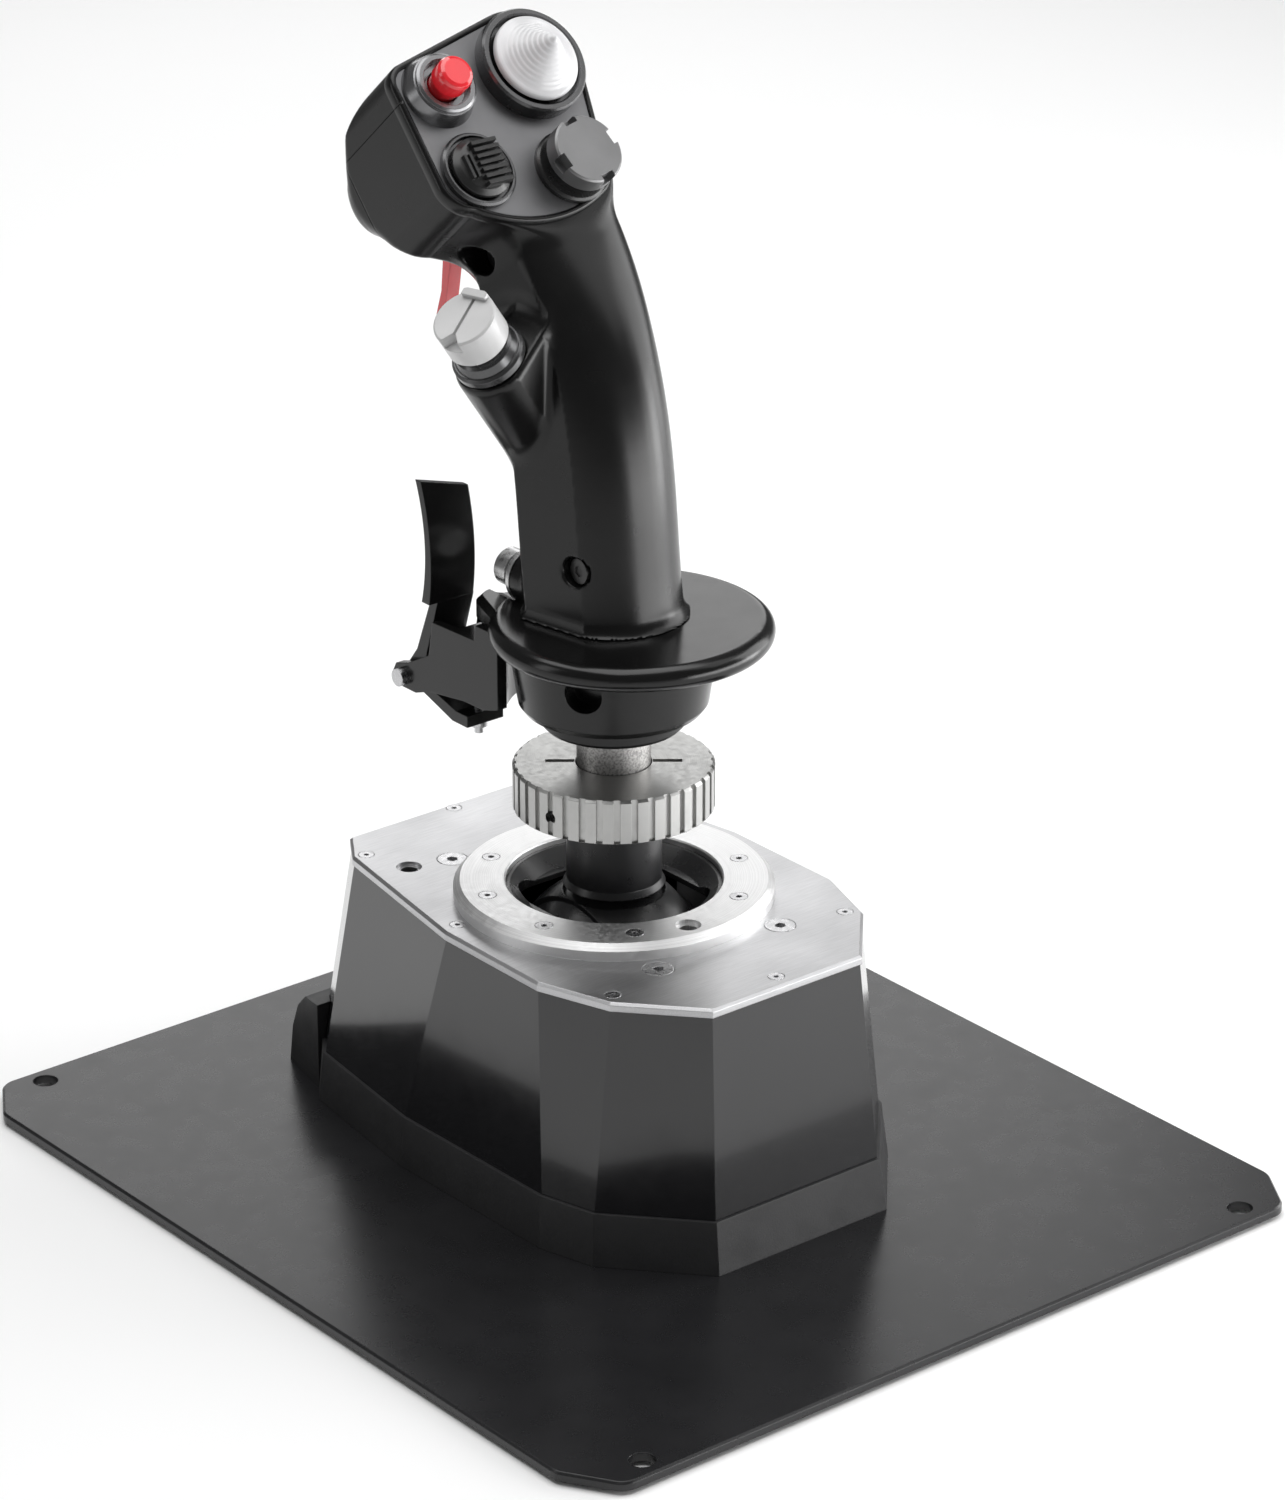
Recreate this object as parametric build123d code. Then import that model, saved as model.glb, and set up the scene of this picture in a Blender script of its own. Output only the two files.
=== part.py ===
"""Desktop flight stick: heavy base plate, gimbal base and a removable pilot's grip.

Frame: +X to the pilot's right, +Y forward, +Z up; the origin is under the middle of the base plate.
Lengths are millimetres.  Heights in the code are measured from the top of the base plate, and save()
lifts every part by LIFT.
"""
from math import cos, radians, sin
import os

from build123d import *

# ---- driving dimensions -------------------------------------------------------------------------
PAD_T = 1.5                      # rubber pads under the plate
PLATE_T = 3.0                    # steel base plate
LIFT = PAD_T + PLATE_T
PLATE_W, PLATE_L = 300.0, 338.0
PLATE_CUT_X, PLATE_CUT_Y = 12.0, 19.0
PLATE_HOLE_R = 4.25
PLATE_HOLE_X, PLATE_HOLE_Y = 125.5, 161.2

STICK_Y = 7.5                    # the stick's axis stands a little forward of the plate's middle
PIVOT_Z = 60.0                   # both gimbal axes cross here
SKIRT_H = 18.0
SHELL_TOP = 86.7
TOP_T = 3.0
TOP_Z = SHELL_TOP + TOP_T
WALL = 3.0

RING_R, RING_BORE, RING_T = 52.8, 35.6, 5.5
RING_SCREW_R = 43.5
WELL_HALF, WELL_CORNER, WELL_Z = 25.2, 10.0, 88.5
DOME_R, DOME_T, BAND_R, BAND_HALF = 34.0, 2.0, 35.5, 17.0

POST_R, POST_TOP, POST_NECK_R, POST_BORE = 15.7, 130.0, 11.0, 6.0
POST_FLARE = 1.2                 # the post's foot is this much wider where it stands on the dome
NUT_R, NUT_Z0, NUT_Z1 = 33.0, 118.7, 136.6
NUT_FLUTES = 36
STEM_R = 12.1
HUB_Z, DISC_Z, DISC_R, DISC_T = 150.5, 190.0, 46.0, 8.2
DISC_Y = -2.0

FACE_TILT = 42.0                 # degrees between the control face and upright
FACE_POINT = (0.0, 23.4, 319.6)  # lowest point of the face's rim on the stick's centre plane
HEAD_DEPTH = 30.0
NOSE_DEPTH = 53.0
RUN = 0.05                       # radial clearance of a running fit

# ---- frames that the controls are built in --------------------------------------------------------
FACE_N = (0.0, -cos(radians(FACE_TILT)), sin(radians(FACE_TILT)))
FACE = Plane(origin=FACE_POINT, x_dir=(1, 0, 0), z_dir=FACE_N)
SIDE_N = Vector(-0.60, -0.15, 0.79).normalized()
SIDE_RIM = Vector(-38.6, 20.3, 280.4)
BOSS_R, BOSS_DEPTH = 13.2, 54.0
SCOOP_R, SCOOP_H = 20.0, 45.0    # thumb clearance cut above the side switch
SIDE = Plane(origin=SIDE_RIM, x_dir=(0, -1, -0.19), z_dir=SIDE_N)

TRIM_AT = (6.3, 50.6)
RED_AT = (-29.9, 49.2)
RIDGE_AT = (-29.4, 20.6)
CASTLE_AT = (4.0, 14.5)
TRIM_R, RED_R, RIDGE_R, CASTLE_R = 18.4, 12.6, 12.8, 12.4
HAT_HOLE_R, HAT_STEM_R = 4.2, 1.7
RED_HOLE_R = 5.6
SIDE_HOLE_R, SIDE_HOLE_DEPTH = 6.6, 16.0
SIDE_CAP_R = 10.4

SILVER_AT = (-13.0, 32.6, 196.5)
SILVER_BOSS_R, SILVER_SLEEVE_R, SILVER_BORE_R = 9.4, 6.8, 5.9
PADDLE_PIN_R, TRIGGER_PIN_R = 1.9, 1.2
SILVER_AXIS = Plane(origin=SILVER_AT, z_dir=(0, 1, 0))
TRIGGER_PIVOT = (-14.0, 70.0, 303.0)
PADDLE_PIVOT = (-22.0, 77.0, 152.5)

os.makedirs("parts", exist_ok=True)


def save(name, *shapes):
    """Lift the shapes off the ground and write them as one named part."""
    solids = []
    for shape in shapes:
        solids.extend((Pos(0, 0, LIFT) * shape).solids())
    item = solids[0] if len(solids) == 1 else Compound(children=solids)
    item.label = name
    export_step(item, f"parts/{name}.step")


def both_sides(points):
    """Mirror a right-hand outline, listed from rear to front, into a closed outline."""
    left = [(-x, y) for x, y in reversed(points) if x > 0]
    return list(points) + left


def prism(points, z0, z1):
    """Upright prism over a closed outline."""
    face = make_face(Plane.XY.offset(z0) * Polyline(*points, close=True))
    return extrude(face, z1 - z0)


def taper(low, high, z0, z1):
    """Ruled solid between two outlines with matching corners."""
    ends = [make_face(Plane.XY.offset(z) * Polyline(*pts, close=True)) for pts, z in ((low, z0), (high, z1))]
    return loft(ends, ruled=True)


def inset(points, distance):
    """Outline moved inwards by a distance; its corners keep their order."""
    moved = []
    count = len(points)
    for i, (x, y) in enumerate(points):
        xa, ya = points[i - 1]
        xb, yb = points[(i + 1) % count]
        ta = Vector(x - xa, y - ya).normalized()
        tb = Vector(xb - x, yb - y).normalized()
        na, nb = Vector(-ta.Y, ta.X), Vector(-tb.Y, tb.X)
        mitre = (na + nb) * (distance / (1 + na.dot(nb)))
        moved.append((x + mitre.X, y + mitre.Y))
    return moved


def slab(points, x0, x1):
    """Prism along X over a closed outline of (y, z) points."""
    face = make_face(Plane.YZ.offset(x0) * Polyline(*points, close=True))
    return extrude(face, x1 - x0, dir=(1, 0, 0))


def across(point, radius, length):
    """Cylinder along X, centred on a point."""
    return Plane(origin=point, z_dir=(1, 0, 0)) * Cylinder(radius, length)


def drum(radius, z0, z1, x=0.0, y=0.0):
    """Upright cylinder between two heights."""
    return Pos(x, y, (z0 + z1) / 2) * Cylinder(radius, z1 - z0)


def tube(outer, inner, z0, z1, x=0.0, y=0.0):
    """Upright tube between two heights."""
    return drum(outer, z0, z1, x, y) - drum(inner, z0, z1, x, y)


def rod(plane, radius, h0, h1, at=(0.0, 0.0)):
    """Cylinder along a plane's normal, from height h0 to h1 over that plane."""
    return plane * Pos(at[0], at[1], (h0 + h1) / 2) * Cylinder(radius, h1 - h0)


def sleeve(plane, outer, inner, h0, h1, at=(0.0, 0.0)):
    """Tube along a plane's normal."""
    return rod(plane, outer, h0, h1, at) - rod(plane, inner, h0, h1, at)


def turned(points, plane=Plane.XY, at=(0.0, 0.0)):
    """Solid of revolution about a plane's normal from (radius, height) points."""
    profile = make_face(Plane.XZ * Polyline(*points, close=True))
    return plane * Pos(at[0], at[1], 0) * revolve(profile, Axis.Z)


def rounded_square(half, corner, z0, z1, x=0.0, y=0.0):
    """Upright prism with a rounded square outline."""
    return extrude(Plane.XY.offset(z0) * Pos(x, y) * RectangleRounded(2 * half, 2 * half, corner), z1 - z0)


def countersunk_screw(plane, at, head_r, shank_r, length, socket_r):
    """Countersunk screw with a hexagon socket, its head flush with the plane."""
    cone = head_r - shank_r
    body = turned([(0, 0), (head_r, 0), (shank_r, -cone), (shank_r, -length), (0, -length)], plane, at)
    socket = plane * Pos(at[0], at[1], 0) * extrude(RegularPolygon(socket_r, 6), -cone * 0.9)
    return body - socket


def countersink(plane, at, head_r, hole_r, depth):
    """Cutter for a countersunk screw, a little wider than the screw itself."""
    cone = head_r - hole_r
    points = [(0, 0.01), (head_r, 0.01), (head_r, 0), (hole_r, -cone), (hole_r, -depth), (0, -depth)]
    return turned(points, plane, at)


def ball_bearing(outer, inner, width):
    """Shielded bearing about Z, with a shallow groove in both faces."""
    mid = (outer + inner) / 2
    body = Cylinder(outer, width) - Cylinder(inner, width)
    groove = Cylinder(mid + 0.9, 0.4) - Cylinder(mid - 0.9, 0.4)
    return body - Pos(0, 0, width / 2) * groove - Pos(0, 0, -width / 2) * groove


def coil_sleeve(inner, wire, turns):
    """Close-wound torsion spring about Z, drawn as one solid of touching rings."""
    pitch = wire * 0.92
    span = pitch * (turns - 1)
    coil = Cylinder(inner + 0.75 * wire, span + 0.5 * wire) - Cylinder(inner + 0.25 * wire, span + 0.5 * wire)
    for i in range(turns):
        coil += Pos(0, 0, -span / 2 + i * pitch) * Torus(inner + wire / 2, wire / 2)
    return coil


# ---- base outlines, right-hand half from rear to front ----------------------------------------------
SKIRT_LOW = both_sides([
    (35.5, -89.5), (62.7, -59.1), (68.5, -38.6), (69.1, 35.4), (61.7, 90.3), (50.0, 107.0),
])
SKIRT_HIGH = both_sides([
    (34.5, -86.8), (61.1, -57.4), (66.7, -36.8), (67.8, 34.9), (60.3, 89.5), (49.0, 105.5),
])
TOP_OUTLINE = both_sides([
    (31.0, -80.4), (53.0, -56.0), (61.7, -30.0), (61.6, 18.3), (50.3, 83.8), (41.5, 97.1),
])
SHELL_LOW = inset(SKIRT_HIGH, 1.0)
SHELL_HIGH = inset(TOP_OUTLINE, 0.6)
SMALL_SCREWS = [
    (0, 94), (55, 20), (-55, 20), (0, -74.5), (48.5, -52), (-48.5, -52), (45.6, 82.3), (-45.6, 82.3),
]
TOWER_SCREWS = [(25.5 * sx, STICK_Y + 54 * sy) for sx in (-1, 1) for sy in (-1, 1)]
RING_SCREWS = [
    (RING_SCREW_R * cos(radians(a)), STICK_Y + RING_SCREW_R * sin(radians(a)))
    for a in (20, 60, 120, 160, 200, 240, 300, 340)
]
FOOT_SCREWS = [(48, -42), (-48, -42), (44, 72), (-44, 72)]
TENSION_HOLE = (-40.4, 65.5)
DAMPER_HOLE = (-4.8, -36.4)
BOARD_Z = 8.8
TOP = Plane.XY.offset(TOP_Z)
RING_TOP = Plane.XY.offset(TOP_Z + RING_T)


# ---- plate and housing --------------------------------------------------------------------------
def make_plate():
    side, end = PLATE_W / 2, PLATE_L / 2
    outline = both_sides([
        (side - PLATE_CUT_X, -end), (side, -end + PLATE_CUT_Y),
        (side, end - PLATE_CUT_Y), (side - PLATE_CUT_X, end),
    ])
    plate = prism(outline, -PLATE_T, 0)
    plate = fillet(plate.edges().filter_by(Axis.Z), 7.0)
    plate = chamfer(plate.faces().sort_by(Axis.Z)[-1].outer_wire().edges(), 0.7)
    for sx in (-1, 1):
        for sy in (-1, 1):
            plate -= drum(PLATE_HOLE_R, -PLATE_T, 0, sx * PLATE_HOLE_X, sy * PLATE_HOLE_Y)
    under = Plane(origin=(0, 0, -PLATE_T), x_dir=(1, 0, 0), z_dir=(0, 0, -1))
    for x, y in FOOT_SCREWS:
        plate -= countersink(under, (x, -y), 5.2, 2.6, PLATE_T)
    save("base_plate", plate)

    screws = [countersunk_screw(under, (x, -y), 5.0, 2.5, 16.0, 1.7) for x, y in FOOT_SCREWS]
    save("base_screws", *screws)

    pads = []
    for sx in (-1, 1):
        for sy in (-1, 0, 1):
            x, y = sx * (128 if sy == 0 else 100), sy * 150
            pad = extrude(RectangleRounded(24, 24 if sy else 70, 6), PAD_T)
            pads.append(Pos(x, y, -PLATE_T - PAD_T) * pad)
    save("rubber_pads", *pads)


def make_skirt():
    floor_t = 3.0
    outer = taper(SKIRT_LOW, SKIRT_HIGH, 0, SKIRT_H)
    hump_side = [(98, 0), (122.3, 0), (119.4, 14.0), (114.5, 24.0), (108.2, 29.8), (98, 31)]
    hump = extrude(make_face(Plane.YZ * Polyline(*hump_side, close=True)), 60, both=True)
    hump_plan = both_sides([(56.4, 97.0), (55.6, 100.5), (50.7, 122.4)])
    hump &= prism(hump_plan, 0, 40)
    shell_zone = taper(inset(SKIRT_HIGH, 0.9), inset(TOP_OUTLINE, 0.5), SKIRT_H, SHELL_TOP)
    hump -= shell_zone
    skirt = outer + hump
    skirt -= taper(inset(SKIRT_LOW, 3.6), inset(SKIRT_HIGH, 3.6), floor_t, SKIRT_H)
    skirt -= prism(inset(SKIRT_LOW, 16.0), 0, floor_t)
    skirt -= Pos(0, 108.5, 9) * Box(40, 21, 12)
    skirt -= Pos(0, 121, 8) * Box(9.6, 12, 3.9)
    for x, y in FOOT_SCREWS:
        skirt += drum(5.5, 0, 15, x, y)
        skirt -= drum(2.55, 0, 15, x, y)
    save("lower_skirt", skirt)

    pan = prism(inset(SKIRT_LOW, 4.4), floor_t, floor_t + 1.6)
    for x, y in FOOT_SCREWS:
        pan -= drum(5.8, floor_t, floor_t + 1.6, x, y)
    for x in (-31, 31):
        for y in (44, 76):
            pan += drum(3.0, floor_t + 1.6, BOARD_Z, x, y)
    save("base_pan", pan)


def make_shell():
    outer = taper(SHELL_LOW, SHELL_HIGH, SKIRT_H, SHELL_TOP)
    inner = taper(inset(SHELL_LOW, WALL), inset(SHELL_HIGH, WALL), SKIRT_H, SHELL_TOP)
    shell = outer - inner
    for x, y in SMALL_SCREWS:
        shell += drum(3.4, SHELL_TOP - 12, SHELL_TOP, x, y) & outer
        shell -= drum(1.3, SHELL_TOP - 12, SHELL_TOP, x, y)
    save("faceted_shell", shell)


def make_top_plate():
    plate = prism(TOP_OUTLINE, SHELL_TOP, TOP_Z)
    plate = chamfer(plate.faces().sort_by(Axis.Z)[-1].outer_wire().edges(), 0.9)
    plate -= drum(37.3, SHELL_TOP, TOP_Z, 0, STICK_Y)
    for at in SMALL_SCREWS:
        plate -= countersink(TOP, at, 2.8, 1.35, TOP_T)
    for at in TOWER_SCREWS:
        plate -= countersink(TOP, at, 5.3, 2.7, TOP_T)
    for x, y in RING_SCREWS:
        plate -= drum(1.3, SHELL_TOP, TOP_Z, x, y)
    plate -= drum(4.2, TOP_Z - 1.2, TOP_Z, *TENSION_HOLE) + drum(2.8, SHELL_TOP, TOP_Z, *TENSION_HOLE)
    plate -= drum(2.8, SHELL_TOP, TOP_Z, *DAMPER_HOLE)
    save("top_plate", plate)
    save("top_plate_screws", *[countersunk_screw(TOP, at, 2.7, 1.25, 9.0, 0.9) for at in SMALL_SCREWS])
    save("tower_screws", *[countersunk_screw(TOP, at, 5.1, 2.6, 9.0, 1.9) for at in TOWER_SCREWS])


def make_ring():
    ring = turned([
        (RING_BORE, TOP_Z), (RING_R, TOP_Z), (RING_R, TOP_Z + RING_T - 2.2), (RING_R - 2.2, TOP_Z + RING_T),
        (RING_BORE + 0.5, TOP_Z + RING_T), (RING_BORE, TOP_Z + RING_T - 0.5),
    ], at=(0, STICK_Y))
    for at in RING_SCREWS:
        ring -= countersink(RING_TOP, at, 3.1, 1.7, RING_T)
    ring -= drum(4.2, TOP_Z + RING_T - 1.4, TOP_Z + RING_T, *DAMPER_HOLE)
    ring -= drum(2.8, TOP_Z, TOP_Z + RING_T, *DAMPER_HOLE)
    save("gimbal_ring", ring)
    save("gimbal_ring_screws", *[countersunk_screw(RING_TOP, at, 3.0, 1.25, 8.0, 1.05) for at in RING_SCREWS])

    shoulder, bore = 37.1, RING_BORE - 0.15
    bezel = turned([
        (0, SHELL_TOP), (shoulder, SHELL_TOP), (shoulder, TOP_Z), (bore, TOP_Z), (bore, TOP_Z + 3.4),
        (bore - 1.2, TOP_Z + 3.4), (WELL_HALF + 3.2, WELL_Z), (0, WELL_Z),
    ], at=(0, STICK_Y))
    bezel -= rounded_square(WELL_HALF, WELL_CORNER, SHELL_TOP, WELL_Z + 8, 0, STICK_Y)
    save("gimbal_bezel", bezel)


# ---- gimbal -------------------------------------------------------------------------------------
PITCH_AXIS = Plane(origin=(0, STICK_Y, PIVOT_Z), x_dir=(0, 1, 0), z_dir=(1, 0, 0))
ROLL_AXIS = Plane(origin=(0, STICK_Y, PIVOT_Z), x_dir=(1, 0, 0), z_dir=(0, 1, 0))
PILLAR_X0, PILLAR_X1 = 39.0, 47.0
SHAFT_R, AXLE_R = 4.0, 3.0
YOKE_R, YOKE_BORE, YOKE_HALF = 27.0, 20.0, 6.0


def make_tower():
    top = SHELL_TOP
    flange = both_sides([(34, -54), (50, -20), (50, 36), (34, 68)])
    tower = prism(flange, top - 4, top)
    tower -= drum(38.0, top - 4, top, 0, STICK_Y)
    pillar_foot = PIVOT_Z - 14
    for side in (-1, 1):
        x = side * (PILLAR_X0 + PILLAR_X1) / 2
        pillar = Box(PILLAR_X1 - PILLAR_X0, 30, top - pillar_foot)
        tower += Pos(x, STICK_Y, (pillar_foot + top) / 2) * pillar
    for side in (-1, 1):
        ends = sorted((side * PILLAR_X0, side * PILLAR_X1))
        tower -= rod(PITCH_AXIS, 8.0, *ends)
    for x, y in TOWER_SCREWS:
        tower -= drum(2.65, top - 4, top, x, y)
    for x, y in RING_SCREWS:
        tower -= drum(2.0, top - 4, top, x, y)
    tower -= drum(3.2, top - 4, top, *TENSION_HOLE) + drum(3.2, top - 4, top, *DAMPER_HOLE)
    save("gimbal_tower", tower)

    bearings = []
    for side in (-1, 1):
        bearings.append(PITCH_AXIS * Pos(0, 0, side * 43.0) * ball_bearing(8.0, SHAFT_R + RUN, 6.0))
    save("pitch_bearings", *bearings)

    board = Pos(-51.8, STICK_Y, PIVOT_Z) * Box(1.6, 22, 26) - rod(PITCH_AXIS, 5.2, -54, -50)
    chip = Pos(-50.3, STICK_Y, PIVOT_Z + 8.5) * Box(1.4, 5, 4)
    save("pitch_sensor", board + chip)


def make_yoke():
    ring = sleeve(Plane.XY, YOKE_R, YOKE_BORE, PIVOT_Z - YOKE_HALF, PIVOT_Z + YOKE_HALF, (0, STICK_Y))
    for side in (-1, 1):
        reach = sorted((side * 23.0, side * (57.0 if side > 0 else 50.0)))
        ring += rod(PITCH_AXIS, SHAFT_R, *reach)
        reach = sorted((side * 18.0, side * 28.0))
        ring -= rod(ROLL_AXIS, 5.0, *reach)
    save("pitch_yoke", ring)
    bushes = []
    for side in (-1, 1):
        reach = sorted((side * 20.4, side * 26.6))
        bushes.append(sleeve(ROLL_AXIS, 5.0, AXLE_R + RUN, *reach))
    save("roll_bushings", *bushes)
    bracket = Pos(0, STICK_Y + 31.2, PIVOT_Z - 4) * Box(14, 1.4, 16) - rod(ROLL_AXIS, 3.4, 28, 34)
    arm = Pos(0, STICK_Y + 28.6, PIVOT_Z - 9) * Box(14, 6, 2)
    save("roll_sensor", bracket + arm)
    save("pitch_spring", PITCH_AXIS * Pos(0, 0, 53.6) * coil_sleeve(4.1, 1.4, 4))


def make_stick():
    post = turned([
        (POST_BORE, PIVOT_Z - 10), (POST_NECK_R, PIVOT_Z - 10), (POST_NECK_R, PIVOT_Z + DOME_R),
        (POST_R + POST_FLARE, PIVOT_Z + DOME_R), (POST_R, PIVOT_Z + DOME_R + 2.2), (POST_R, POST_TOP - 0.8),
        (POST_R - 0.8, POST_TOP), (POST_BORE, POST_TOP),
    ], at=(0, STICK_Y))
    post += rod(ROLL_AXIS, 7.5, -13.0, 13.0) - drum(POST_BORE, 40, 80, 0, STICK_Y)
    post -= rod(ROLL_AXIS, AXLE_R + 0.02, -14, 14)
    save("stick_post", post)
    save("roll_axle", rod(ROLL_AXIS, AXLE_R, -33.0, 30.0))
    save("roll_spring", ROLL_AXIS * Pos(0, 0, -30.6) * coil_sleeve(3.1, 1.4, 3))

    centre = Pos(0, STICK_Y, PIVOT_Z)
    dome = centre * (Sphere(DOME_R) - Sphere(DOME_R - DOME_T))
    dome &= drum(DOME_R + 1, PIVOT_Z + 14.0, PIVOT_Z + DOME_R, 0, STICK_Y)
    dome -= drum(POST_NECK_R + RUN, PIVOT_Z, PIVOT_Z + 40, 0, STICK_Y)
    band = centre * (Sphere(BAND_R) - Sphere(DOME_R - 0.5))
    band &= Pos(0, STICK_Y, PIVOT_Z + 26) * Box(2 * BAND_HALF, 80, 20)
    band -= drum(POST_R + POST_FLARE + RUN, PIVOT_Z, PIVOT_Z + 40, 0, STICK_Y)
    save("boot_dome", dome + band)
    save("signal_lead", drum(2.4, PIVOT_Z + 8, HUB_Z + 18, 0, STICK_Y))


def make_nut():
    body = turned([
        (16.1, NUT_Z0), (26.6, NUT_Z0), (NUT_R, NUT_Z0 + 3.1), (NUT_R, NUT_Z1 - 0.8), (NUT_R - 0.8, NUT_Z1),
        (STEM_R + 0.4, NUT_Z1), (STEM_R + 0.4, NUT_Z1 - 2.5), (16.1, NUT_Z1 - 2.5),
    ], at=(0, STICK_Y))
    flute_z = (NUT_Z0 + NUT_Z1) / 2 + 3
    for i in range(NUT_FLUTES):
        angle = i * 360 / NUT_FLUTES + 3
        flute = Rot(0, 0, angle) * Pos(NUT_R + 0.2, 0, flute_z) * Box(3.0, 2.1, NUT_Z1 - NUT_Z0)
        body -= Pos(0, STICK_Y, 0) * flute
    for side in (0, 180):
        slot = Rot(0, 0, -39 + side) * Pos(17.5, 0, NUT_Z1) * Box(9.5, 2.2, 2.4)
        body -= Pos(0, STICK_Y, 0) * slot
    bore = Plane(origin=(0, STICK_Y, NUT_Z0 + 9.2), z_dir=(cos(radians(193)), sin(radians(193)), 0))
    body -= rod(bore, 2.0, 17.5, 34)
    save("lock_nut", body)
    screw = rod(bore, 1.95, 20.5, 31.0) - bore * Pos(0, 0, 29.0) * extrude(RegularPolygon(1.1, 6), 3)
    save("nut_set_screw", screw)
    save("thrust_washer", tube(15.6, STEM_R + 0.5, POST_TOP + 2.4, POST_TOP + 3.8, 0, STICK_Y))


def make_stem():
    stem = drum(STEM_R, POST_TOP, HUB_Z + 6, 0, STICK_Y) + drum(14.5, POST_TOP, POST_TOP + 2, 0, STICK_Y)
    save("grip_stem", stem - drum(2.45, POST_TOP, HUB_Z + 6, 0, STICK_Y))


# ---- grip ---------------------------------------------------------------------------------------
def make_hub():
    hub = turned([
        (STEM_R + 0.02, HUB_Z), (22.6, HUB_Z), (23.7, HUB_Z + 1.2), (23.7, HUB_Z + 6), (29.5, HUB_Z + 6.4),
        (31.0, HUB_Z + 8.5), (33.0, HUB_Z + 22), (34.5, DISC_Z - DISC_T), (19.0, DISC_Z - DISC_T),
        (19.0, HUB_Z + 9), (STEM_R + 0.02, HUB_Z + 9),
    ], at=(0, STICK_Y))
    side = Plane(origin=(0, STICK_Y, HUB_Z + 22), z_dir=(-0.83, -0.56, 0))
    hub -= rod(side, 6.2, 24, 40)
    save("grip_hub", hub)


def lever_bracket():
    """Two cheeks and a rear block that carry the paddle lever, drawn in front of the disc's left side."""
    cheek = [(26, 157), (33.5, 154.6), (44, 154.4), (62.5, 151.6), (70, 148.8), (80.5, 148.8), (82.5, 152.5),
             (80.5, 156.2), (74, 158.2), (62.5, 164.5), (60.4, 176.8), (38, 177.6), (37.4, 183), (26, 183)]
    slot = Pos(-22, 73, 165) * Box(15.6, 46, 60)
    return slab(cheek, -33, -11) - slot


def make_disc():
    half = DISC_T / 2
    rim = Pos(0, DISC_Y, DISC_Z - half) * Torus(DISC_R - half, half)
    disc = rim + drum(DISC_R - half, DISC_Z - DISC_T, DISC_Z, 0, DISC_Y)
    nose = make_hull(Circle(DISC_R - half - 0.5).edges() + (Pos(-20, 42.5) * Circle(8)).edges())
    nose = extrude(Plane.XY.offset(DISC_Z - DISC_T + 0.6) * Pos(0, DISC_Y) * nose, DISC_T - 1.0)
    disc += chamfer(nose.faces().sort_by(Axis.Z)[-1].outer_wire().edges(), 2.2)
    disc += lever_bracket()
    disc -= rod(SILVER_AXIS, SILVER_BOSS_R + 0.5, 0.5, 30) + rod(SILVER_AXIS, SILVER_SLEEVE_R + 0.4, -6, 1)
    hub_space = drum(34.6, HUB_Z, DISC_Z - DISC_T, 0, STICK_Y)
    disc -= hub_space
    disc -= drum(15.0, DISC_Z - DISC_T, DISC_Z, 0, STICK_Y)
    disc -= across(PADDLE_PIVOT, PADDLE_PIN_R + RUN, 40)
    save("hand_rest", disc)

    px, py, pz = PADDLE_PIVOT
    pin = across(PADDLE_PIVOT, PADDLE_PIN_R, 22.6)
    pin += across((px - 12.2, py, pz), 3.0, 2.3)
    save("hinge_pins", pin, across(TRIGGER_PIVOT, TRIGGER_PIN_R, 14.8))


NECK_SECTIONS = [(190, 5.0), (210, 7.7), (245, 11.8), (274, 18.9), (296, 28.0), (322, 41.5)]
NECK_X = -2.0
GRIP_WALL = 3.2
SEAM_B, SEAM_DEPTH = 48.4, 41.0  # where the head cover meets the body
PLATE_DROP, FACE_PLATE_T = 0.8, 2.4
GRIP_SCREWS = [(-1.0, 210.5), (40.0, 304.6)]  # (y, z) of the two screws in the left cheek


def neck_section(z, yc, grow=0.0):
    """Grip section: round at the rear, flat cheeks that open forwards, gently bowed front."""
    crease, corner = 20.2 + grow, 25.0 + grow
    rear, cheek, front, nose = -23.0 - grow, -11.0, 13.0, 27.0 + grow
    left_rear, right_rear = (NECK_X - crease, yc + cheek), (NECK_X + crease, yc + cheek)
    right_front, left_front = (NECK_X + corner, yc + front), (NECK_X - corner, yc + front)
    lines = [
        ThreePointArc(left_rear, (NECK_X, yc + rear), right_rear),
        Line(right_rear, right_front),
        ThreePointArc(right_front, (NECK_X, yc + nose), left_front),
        Line(left_front, left_rear),
    ]
    return Plane.XY.offset(z) * make_face(lines)


def head_sketch(scale_by=1.0, grow=0.0):
    """Outline of the head, seen square to the control face."""
    ring_a, ring_b = TRIM_AT
    start, end, ring_r = radians(102.9), radians(-14.1), 20.5
    arc = [(ring_a + ring_r * cos(t), ring_b + ring_r * sin(t)) for t in (start, (start + end) / 2, end)]
    lines = [
        Line((-39.0, 61.3), arc[0]),
        ThreePointArc(*arc),
        Line(arc[2], (19.0, 14.0)),
        ThreePointArc((19.0, 14.0), (17.6, 8.6), (13.8, 4.6)),
        ThreePointArc((13.8, 4.6), (-9.0, -1.0), (-36.5, 8.0)),
        ThreePointArc((-36.5, 8.0), (-42.6, 11.8), (-45.2, 17.5)),
        Line((-45.2, 17.5), (-45.2, 53.0)),
        ThreePointArc((-45.2, 53.0), (-43.6, 58.4), (-39.0, 61.3)),
    ]
    outline = make_face(lines)
    if grow:
        outline = offset(outline, grow)
    middle = Pos(-12, 38)
    return outline if scale_by == 1.0 else middle * scale(middle.inverse() * outline, by=scale_by)


def on_face(shape, depth=0.0):
    """Move something drawn on the control face's plane to its place, at a depth behind it."""
    return FACE * Pos(0, 0, -depth) * shape


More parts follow.
